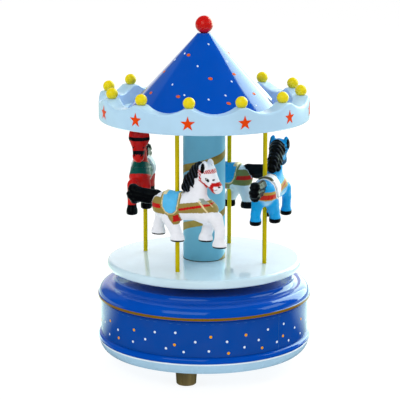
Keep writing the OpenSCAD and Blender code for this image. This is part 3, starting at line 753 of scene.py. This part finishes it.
# The usual harness: slope of the chest band, height and half width of the rump's and chest's
# bands, and those of the rump's stripe
RISE, BANDS, STRIPE_Z = 0.125, (19.7, 4.1, 19.15, 2.45), (19.5, 1.1)
FACE_X, FACE_Z, FACE = 0.894, 0.447, 36.0  # the flat front of the face


def strand_wave(p):
    """Ridges that run down and back along the hair."""
    return np.sin(TAU * (p[:, 0] * 0.75 + p[:, 2] * 0.42) / 1.7)


def horse_parts(p):
    """Distances to the pieces that a horse is carved from."""
    body = egg(p, (-5.9, 0, 18.9), (6.9, 5.5, 6.9))
    body = join(body, egg(p, (4.5, 0, 18.9), (13.5, 5.3, 6.6)), 2.5)
    body = join(body, egg(p, (15.6, 0, 17.4), (6.6, 5.3, 6.1)), 2.5)
    neck = capsule(p, (10.4, 0, 24.0), (12.6, 0, 36.5), 5.6, 4.2, 0.68)
    body = join(body, neck, 3.0)
    legs = np.full(len(p), FAR)
    hooves = np.full(len(p), FAR)
    for hip, knee, hoof, floor, (r0, r1, r2) in LEGS:
        leg = join(capsule(p, hip, knee, r0, r1, 0.9), capsule(p, knee, hoof, r1, r2, 0.9), 0.8)
        foot = egg(p, (hoof[0] + 0.1, hoof[1], floor + 1.3), HOOF)
        leg = cut(join(leg, foot, 0.9), floor - p[:, 2], 0.5)
        legs = np.minimum(legs, leg)
        hooves = np.minimum(hooves, np.where(leg < 1.5, p[:, 2] - floor, FAR))
    body = join(body, legs, 1.6)
    mirrored = np.column_stack([p[:, 0], np.abs(p[:, 1]), p[:, 2]])
    head = egg(p, (16.0, 0, 37.6), (4.9, 4.8, 4.7))
    head = join(head, capsule(p, (16.6, 0, 36.6), (20.9, 0, 30.6), 4.3, 3.1, 0.92), 1.4)
    head = join(head, egg(p, (21.6, 0, 29.8), (2.8, 2.8, 2.9)), 1.0)
    head = cut(head, FACE_X * p[:, 0] + FACE_Z * p[:, 2] - FACE, 1.2)
    head = cut(head, -egg(mirrored, (23.9, 2.4, 30.2), (0.7, 0.9, 0.7)), 0.3)
    ears = egg(turned_about(mirrored - (16.5, 3.9, 40.2), 0, -10), (0, 0, 0), (1.8, 1.5, 3.5))
    ears = cut(ears, -egg(mirrored, (16.0, 5.7, 40.6), (1.0, 0.9, 2.2)), 0.3)
    body = join(join(body, head, 1.2), ears, 0.7)
    crest = capsule(p, (12.4, 0, 40.4), (10.2, 0, 37.8), 1.8, 2.1, 1.15)
    crest = join(crest, capsule(p, (10.2, 0, 37.8), (6.6, 0, 33.4), 2.1, 2.4, 1.15), 1.0)
    crest = join(crest, capsule(p, (6.6, 0, 33.4), (4.6, 0, 28.8), 2.4, 2.1, 1.1), 1.0)
    crest = join(crest, capsule(p, (12.4, 0, 40.6), (18.2, 0, 40.6), 1.6, 0.9), 0.8)
    locks = cut(join(body, neck, 1.0) - 0.6, outline(p, MANE), 0.3)
    mane = join(crest, locks, 0.7) + 0.13 * strand_wave(p)
    tail = capsule(p, (-11.0, 0, 23.6), (-16.0, 0, 22.6), 2.9, 3.5, 0.68)
    tail = join(tail, capsule(p, (-16.0, 0, 22.6), (-21.8, 0, 23.2), 3.5, 4.0, 0.66), 1.0)
    for x, z, size in ((-23.9, 25.8, 2.7), (-24.9, 22.9, 2.6), (-23.2, 20.8, 2.6)):
        tail = join(tail, egg(p, (x, 0, z), (size, 2.7, size)), 0.4)
    tail = tail + 0.13 * np.sin(TAU * (p[:, 2] + 0.12 * p[:, 0]) / 2.3)
    saddle_shape = outline(p, SADDLE)
    saddle = cut(body - 1.15, saddle_shape, 0.3)
    saddle = join(saddle, capsule(p, (-4.9, -2.6, 25.3), (-4.9, 2.6, 25.3), 1.0, 1.0), 0.6)
    trim = cut(body - 0.45, saddle_shape - 1.5, 0.3)
    trim = join(trim, capsule(p, (3.0, -2.0, 25.4), (3.0, 2.0, 25.4), 1.1, 1.1), 0.6)
    drape = cut(body - 0.4, outline(p, DRAPE), 0.2)
    return dict(body=body, legs=legs, hooves=hooves, head=head, ears=ears, mane=mane,
                tail=tail, saddle=saddle, saddle_shape=saddle_shape, trim=trim, drape=drape)


def band_lines(p, rise=RISE, bands=BANDS):
    """Offsets from the edges of the bands round rump and chest, and from the chest's stripe."""
    x, z = p[:, 0], p[:, 2]
    rump = np.where(x < -3, np.abs(z - bands[0]) - bands[1], 9.0)
    along = np.clip(x - 4.4, 0, 17)
    chest = np.abs(z - bands[2] - rise * along) - bands[3] - 0.025 * along
    return rump, np.where(x > 2.0, chest, 9.0), z - 18.7 - (rise + 0.09) * along


def horse_field(p):
    """The whole horse, with the reliefs that its harness stands in."""
    part = horse_parts(p)
    rump, chest, _ = band_lines(p)
    trunk = np.where(part["legs"] < part["body"] + 0.6, 0.3, 0.0)
    band = np.minimum(rump, chest) + trunk
    whole = np.minimum(part["body"], cut(part["body"] - 0.3, band, 0.2))
    for name in ("drape", "trim", "saddle"):
        whole = join(whole, part[name], 0.15)
    whole = join(whole, part["tail"], 0.6)
    return join(whole, part["mane"], 0.15)


CHUNKS = 24  # keeps the field's memory low


def surface_net(field, low, high, step):
    """A quad mesh of the zero surface of a field, by averaging edge crossings in each cell."""
    axes = [np.arange(a, b + step, step) for a, b in zip(low, high)]
    shape = tuple(len(a) for a in axes)
    grid = np.stack(np.meshgrid(*axes, indexing="ij"), -1).reshape(-1, 3)
    values = np.concatenate([field(chunk) for chunk in np.array_split(grid, CHUNKS)])
    values = values.reshape(shape)
    inside = values < 0
    cells = tuple(n - 1 for n in shape)
    total, hits = np.zeros(cells + (3,)), np.zeros(cells)
    crossings = []
    for axis in range(3):
        near = tuple(slice(None, -1) if a == axis else slice(None) for a in range(3))
        far = tuple(slice(1, None) if a == axis else slice(None) for a in range(3))
        crossed = inside[near] != inside[far]
        spots = np.argwhere(crossed)
        share = values[near][crossed] / (values[near][crossed] - values[far][crossed])
        points = spots.astype(float)
        points[:, axis] += share
        others = [a for a in range(3) if a != axis]
        for da in (0, 1):
            for db in (0, 1):
                cell = spots.copy()
                cell[:, others[0]] -= da
                cell[:, others[1]] -= db
                good = np.all((cell >= 0) & (cell < cells), axis=1)
                key = tuple(cell[good].T)
                np.add.at(total, key, points[good])
                np.add.at(hits, key, 1)
        crossings.append((axis, others, spots, inside[near][crossed]))
    used = hits > 0
    index = np.full(cells, -1)
    index[used] = np.arange(used.sum())
    verts = total[used] / hits[used][:, None] * step + np.array(low)
    faces = []
    for axis, (b, c), spots, starts_inside in crossings:
        good = (spots[:, b] > 0) & (spots[:, c] > 0)
        good &= (spots[:, b] < cells[b]) & (spots[:, c] < cells[c])
        spots, starts_inside = spots[good], starts_inside[good]
        ring = []
        for db, dc in ((1, 1), (0, 1), (0, 0), (1, 0)):
            cell = spots.copy()
            cell[:, b] -= db
            cell[:, c] -= dc
            ring.append(index[tuple(cell.T)])
        quads = np.stack(ring, 1)
        flip = starts_inside == (axis == 1)
        quads[flip] = quads[flip][:, ::-1]
        faces.append(quads)
    return verts, np.concatenate(faces)


# DARK is the mouth line's grey, and also the painted highlight streaks on the black hair
BLACK, DARK = rgb(6, 8, 12), rgb(58, 66, 80)
OLIVE, CREAM, RED = rgb(150, 132, 66), rgb(232, 214, 164), rgb(190, 8, 8)
SAGE, GREEN = rgb(150, 164, 150), rgb(4, 86, 76)
# Paint of each horse. pale is the lower legs' colour, trim the saddle cloth's, line its piping's
# and strap the bridle's; brow is the brow band's half width, and hoof the hooves' height
LIVERIES = {
    "horse_front": dict(coat=rgb(236, 238, 244), pale=rgb(236, 238, 244), saddle=rgb(86, 186, 236),
                        trim=OLIVE, line=CREAM, cords=CREAM, strap=RED, brow=1.0, hoof=0.9,
                        rise=RISE, bands=BANDS, stripe_z=STRIPE_Z, band=OLIVE, stripe=RED,
                        slot="white_paint"),
    "horse_right": dict(coat=rgb(2, 158, 226), pale=rgb(172, 216, 236), saddle=rgb(238, 242, 248),
                        trim=rgb(222, 230, 238), line=rgb(84, 84, 66), cords=CREAM,
                        strap=rgb(20, 70, 110), brow=0.6, hoof=2.3, rise=RISE,
                        bands=(18.4, 2.3, 19.15, 2.2), stripe_z=(18.0, 1.3),
                        band=rgb(176, 146, 64), stripe=rgb(186, 36, 20), slot="sky_blue_paint"),
    "horse_back": dict(coat=rgb(206, 222, 228), pale=rgb(196, 218, 226), saddle=rgb(24, 160, 222),
                       trim=rgb(118, 122, 66), line=CREAM, cords=CREAM, strap=RED, brow=0.8,
                       hoof=3.8, rise=RISE, bands=BANDS, stripe_z=STRIPE_Z,
                       band=rgb(112, 120, 66), stripe=rgb(184, 26, 16),
                       slot="pale_grey_paint"),
    "horse_left": dict(coat=rgb(204, 14, 6), pale=rgb(204, 14, 6), saddle=rgb(232, 236, 238),
                       trim=rgb(190, 200, 196), line=rgb(170, 150, 90), cords=rgb(6, 92, 84),
                       strap=BLACK, brow=0.85, hoof=5.2, rise=0.27,
                       bands=(19.7, 4.1, 19.9, 3.1), stripe_z=STRIPE_Z, band=GREEN,
                       stripe=GREEN, slot="red_paint"),
}


def paint(p, look):
    """Colour at each point of a horse, laid on in the order a painter would."""
    part = horse_parts(p)
    rump, chest, offset = band_lines(p, look["rise"], look["bands"])
    x, y, z = p.T
    side = np.abs(y)
    colour = np.tile(look["coat"], (len(p), 1))

    def lay(where, tone):
        colour[where] = tone

    low = np.clip((19 - z) / 6, 0, 1) * np.clip((part["legs"] - 0.2) / 1.5, 0, 1)
    colour += low[:, None] * (np.array(look["pale"]) - np.array(look["coat"]))
    trunk = (part["head"] > 1.2) & (part["tail"] > 0.3)
    lay(trunk & (rump < 0) & (x < -4), look["band"])
    stripe_z, stripe_half = look["stripe_z"]
    lay(trunk & (np.abs(z - stripe_z) < stripe_half) & (x < -4), look["stripe"])
    lay(trunk & (chest < 0) & (x > 3), look["band"])
    lay(trunk & (np.abs(offset) < 0.62) & (x > 3) & (x < 20), look["stripe"])
    flank = trunk & (side > 2.5) & (chest < 0.5)
    if look["cords"] is CREAM:
        lay(trunk & (side > 2.5) & (outline(p, CHEST_PATCH) < 0), SAGE)
    for line in CORDS:
        lay(flank & (stroke(p, line, 0.32) < 0), look["cords"])
    lay((part["drape"] < 0.25) & (outline(p, DRAPE) < 0.1) & (side > 2), look["trim"])
    lay((outline(p, TASSEL) < 0) & (side > 2) & (part["body"] < 1), look["stripe"])
    shape = part["saddle_shape"]
    near_saddle = (part["body"] < 2.2) & (z > 15)
    lay(near_saddle & (shape < 1.6), look["trim"])
    lay(near_saddle & (np.abs(shape - 0.55) < 0.26), look["line"])
    lay(near_saddle & (shape < 0.1), look["saddle"])
    lay((part["saddle"] < 0.2) & (x < -3.8) & (z > 25.4), look["line"])
    lay(part["hooves"] < look["hoof"], BLACK)
    # brow band, cheek strap, noseband, eyes and nostrils
    head = (part["head"] < 0.8) & (x > 12.6)
    beads = (np.sin(TAU * (x + z + y) / 1.5) > -0.6) | (look["strap"] is BLACK)
    lay(head & (np.abs(z - 38.5) < look["brow"]) & beads, look["strap"])
    lay(head & (stroke(p, CHEEK_STRAP, 0.75) < 0) & beads, look["strap"])
    for line in NOSEBAND:
        lay(head & (stroke(p, line, 0.95) < 0), look["strap"])
    lay(head & (outline(p, NOSE_PATCH) < 0), look["strap"])
    lay(head & (np.hypot((x - 18.1 + 0.4 * (z - 34)) / 0.85, (z - 34.2) / 1.1) < 1)
        & (side > 1), BLACK)
    # painted highlight: a small white glint in the eye on each side
    lay(head & (np.hypot(x - 17.8, z - 34.8) < 0.2) & (side > 1), rgb(240, 240, 240))
    lay(head & (np.hypot(x - 20.9, z - 34.3) < 0.5), BLACK)
    lay(head & (np.hypot(x - 23.6, z - 30.6) < 0.45) & (side > 0.8), BLACK)
    lay(head & (stroke(p, MOUTH, 0.16) < 0), DARK)
    lay((part["ears"] < 0.3) & (egg(np.column_stack([x, side, z]), (15.8, 5.4, 40.4),
                                    (1.5, 1.6, 2.8)) < 0), BLACK)
    lay(part["tail"] < 0.12, BLACK)
    hair = part["mane"] < 0.12
    lay(hair, BLACK)
    # painted highlight: lighter grey streaks on the crests of the hair's ridges, on its sides
    lay(hair & (strand_wave(p) > 0.9) & (side > 1.2), DARK)
    return colour


# How each horse sits on its pole, as in the CAD model: turn of the pole, height, yaw, lean,
# pitch and outward offset
SEATS = {"horse_front": (-23.5, 14.8, 0, 0, 0, 0.5), "horse_right": (66.5, 19.6, 5, 3, -2, 1.0),
         "horse_back": (156.5, 17.5, 0, 0, 0, 0), "horse_left": (246.5, 24.5, 20, 0, 0, 1.3)}
POLE_RING = 33.5
HORSE_LOW, HORSE_HIGH = (-29, -7, -1), (29, 7, 47)
net_step = 0.36
shape_verts, shape_faces = surface_net(horse_field, HORSE_LOW, HORSE_HIGH, net_step)
horse_paint = paint_material("horse_paint")


def horse(node):
    """One horse, painted in its livery and seated on its pole."""
    look = LIVERIES[node]
    turn, lift, yaw, lean, pitch, outward = SEATS[node]
    verts = turned_about(turned_about(shape_verts, 0, lean), 1, pitch)
    verts = turned_about(verts - (0, outward, 0), 2, yaw + turn)
    verts = verts + np.array(at_turn(turn, POLE_RING, deck_high + lift))
    made = build(node + "_carved", verts, shape_faces.tolist(), [horse_paint], sharp=None)
    layer = made.data.color_attributes.new("paint", "FLOAT_COLOR", "POINT")
    layer.data.foreach_set("color", paint(shape_verts, look).ravel())
    place(made, "carousel", look["slot"], node)


for name in LIVERIES:
    horse(name)

# ---- CAD nodes that keep their shape ----

KEPT = {
    foot_bronze: ("foot_front", "foot_right", "foot_left"),
    pale_blue: ("base_plate",),
    pole_yellow: ("pole_front", "pole_right", "pole_back", "pole_left"),
    star_red: ("rim_stars",),
    bare_wood: ("finial_pin",),
    brass: ("spindle_bush", "comb_screws", "bracket_screws", "winding_key", "spring_barrel",
            "barrel_lid", "note_cylinder", "cylinder_pinion", "cylinder_gear",
            "second_pinion"),
    steel: ("plate_screws", "movement_screws", "governor_bracket", "winding_arbor",
            "drive_spindle", "drive_flange", "flange_screws", "column_screw",
            "canopy_screw", "cylinder_shaft", "second_arbor", "governor_worm"),
    blued: ("comb", "mainspring"),
    zinc: ("movement_bedplate",),
    nylon: ("thrust_washer", "worm_wheel", "governor_fan"),
}
for mat, names in KEPT.items():
    for name in names:
        mesh = NODES[name].data
        mesh.materials.clear()
        mesh.materials.append(mat)

# ---- Floor, light and camera ----

FLOOR = 3.0  # half its side
FLOOR_GREY = rgb(121, 121, 121)


def floor_material():
    """Glows softly, as a lit sweep does. Gloss shows it dark, and bright only behind."""
    made = Material("floor_white", roughness=1.0, specular=0.0)
    in_gloss = made.node("ShaderNodeLightPath").outputs["Is Glossy Ray"]
    parts = made.node("ShaderNodeSeparateXYZ")
    made.link(made.coord, parts.inputs["Vector"])
    far = made.node("ShaderNodeVectorMath", operation="LENGTH")
    made.link(made.coord, far.inputs[0])
    level = made.node("ShaderNodeMath", operation="MULTIPLY")
    made.link(map_range(made.tree, parts.outputs["Y"], FLOOR_IN_GLOSS), level.inputs[0])
    made.link(map_range(made.tree, far.outputs["Value"], FLOOR_FADE), level.inputs[1])
    glow = made.node("ShaderNodeMix", data_type="FLOAT")
    glow.inputs["A"].default_value = FLOOR_GLOW
    made.link(level.outputs["Value"], glow.inputs["B"])
    made.link(in_gloss, glow.inputs["Factor"])
    made.link(glow.outputs["Result"], made.bsdf.inputs["Emission Strength"])
    for socket, seen, glossy in (("Base Color", FLOOR_GREY, rgb(4, 6, 8)),
                                 ("Emission Color", WHITE, (*CARD_TINT, 1))):
        tone = made.node("ShaderNodeMix", data_type="RGBA")
        tone.inputs["A"].default_value = seen
        tone.inputs["B"].default_value = glossy
        made.link(in_gloss, tone.inputs["Factor"])
        made.link(tone.outputs["Result"], made.bsdf.inputs[socket])
    return made.mat


floor_mesh = bpy.data.meshes.new("floor")
floor_mesh.from_pydata([(-FLOOR, -FLOOR, 0), (FLOOR, -FLOOR, 0), (FLOOR, FLOOR, 0),
                        (-FLOOR, FLOOR, 0)], [], [(0, 1, 2, 3)])
floor_mesh.materials.append(floor_material())
floor = bpy.data.objects.new("floor", floor_mesh)
bpy.context.scene.collection.objects.link(floor)

LIGHT_AIM, LIGHT_DISTANCE = Vector((0, 0, 0.09)), 1.1


def soft_box(name, azimuth, elevation, width, height, radiance):
    """A soft light that the object sees at an azimuth (from the front) and an elevation."""
    a, e = math.radians(azimuth), math.radians(elevation)
    light = bpy.data.lights.new(name, "AREA")
    light.shape = "RECTANGLE"
    light.size, light.size_y = width, height
    light.energy = radiance * math.pi * width * height
    made = bpy.data.objects.new(name, light)
    away = Vector((math.sin(a) * math.cos(e), -math.cos(a) * math.cos(e), math.sin(e)))
    made.location = LIGHT_AIM + away * LIGHT_DISTANCE
    made.rotation_euler = (-away).to_track_quat("-Z", "Y").to_euler()
    bpy.context.scene.collection.objects.link(made)
    return made


for lamp in LAMPS:
    soft_box(*lamp).visible_glossy = False
for card in CARDS:
    made = soft_box(*card)
    made.data.color = CARD_TINT
    made.visible_diffuse = False


def sky(world):
    """White to the camera. It lights most from behind, and gloss shows it only far behind."""
    world.use_nodes = True
    tree = world.node_tree
    shown = tree.nodes["Background"]
    around = tree.nodes.new("ShaderNodeBackground")
    path = tree.nodes.new("ShaderNodeLightPath")
    pick = tree.nodes.new("ShaderNodeMixShader")
    direction = tree.nodes.new("ShaderNodeTexCoord")
    parts = tree.nodes.new("ShaderNodeSeparateXYZ")
    gloss = tree.nodes.new("ShaderNodeMix")
    gloss.data_type = "FLOAT"
    link = tree.links.new
    link(direction.outputs["Generated"], parts.inputs["Vector"])
    for end, span in (("A", SKY), ("B", SKY_IN_GLOSS)):
        link(map_range(tree, parts.outputs["Y"], span), gloss.inputs[end])
    link(path.outputs["Is Glossy Ray"], gloss.inputs["Factor"])
    link(gloss.outputs["Result"], around.inputs["Strength"])
    link(path.outputs["Is Camera Ray"], pick.inputs["Fac"])
    link(around.outputs["Background"], pick.inputs[1])
    link(shown.outputs["Background"], pick.inputs[2])
    link(pick.outputs["Shader"], tree.nodes["World Output"].inputs["Surface"])
    for background in (shown, around):
        background.inputs["Color"].default_value = WHITE
    shown.inputs["Strength"].default_value = 1.0


bpy.context.scene.world = bpy.data.worlds.new("studio")
sky(bpy.context.scene.world)
bpy.context.scene.view_settings.view_transform = "Standard"

camera_data = bpy.data.cameras.new("camera")
camera_data.lens = 161.04
camera_data.sensor_width = 36
camera_data.shift_x = -0.0104
camera_data.clip_end = 20
camera = bpy.data.objects.new("camera", camera_data)
camera.location = (0, -0.8994, 0.2792)
CAMERA_AIM = Vector((0, 0, 0.085))
camera.rotation_euler = (CAMERA_AIM - camera.location).to_track_quat("-Z", "Y").to_euler()
bpy.context.scene.collection.objects.link(camera)
bpy.context.scene.camera = camera
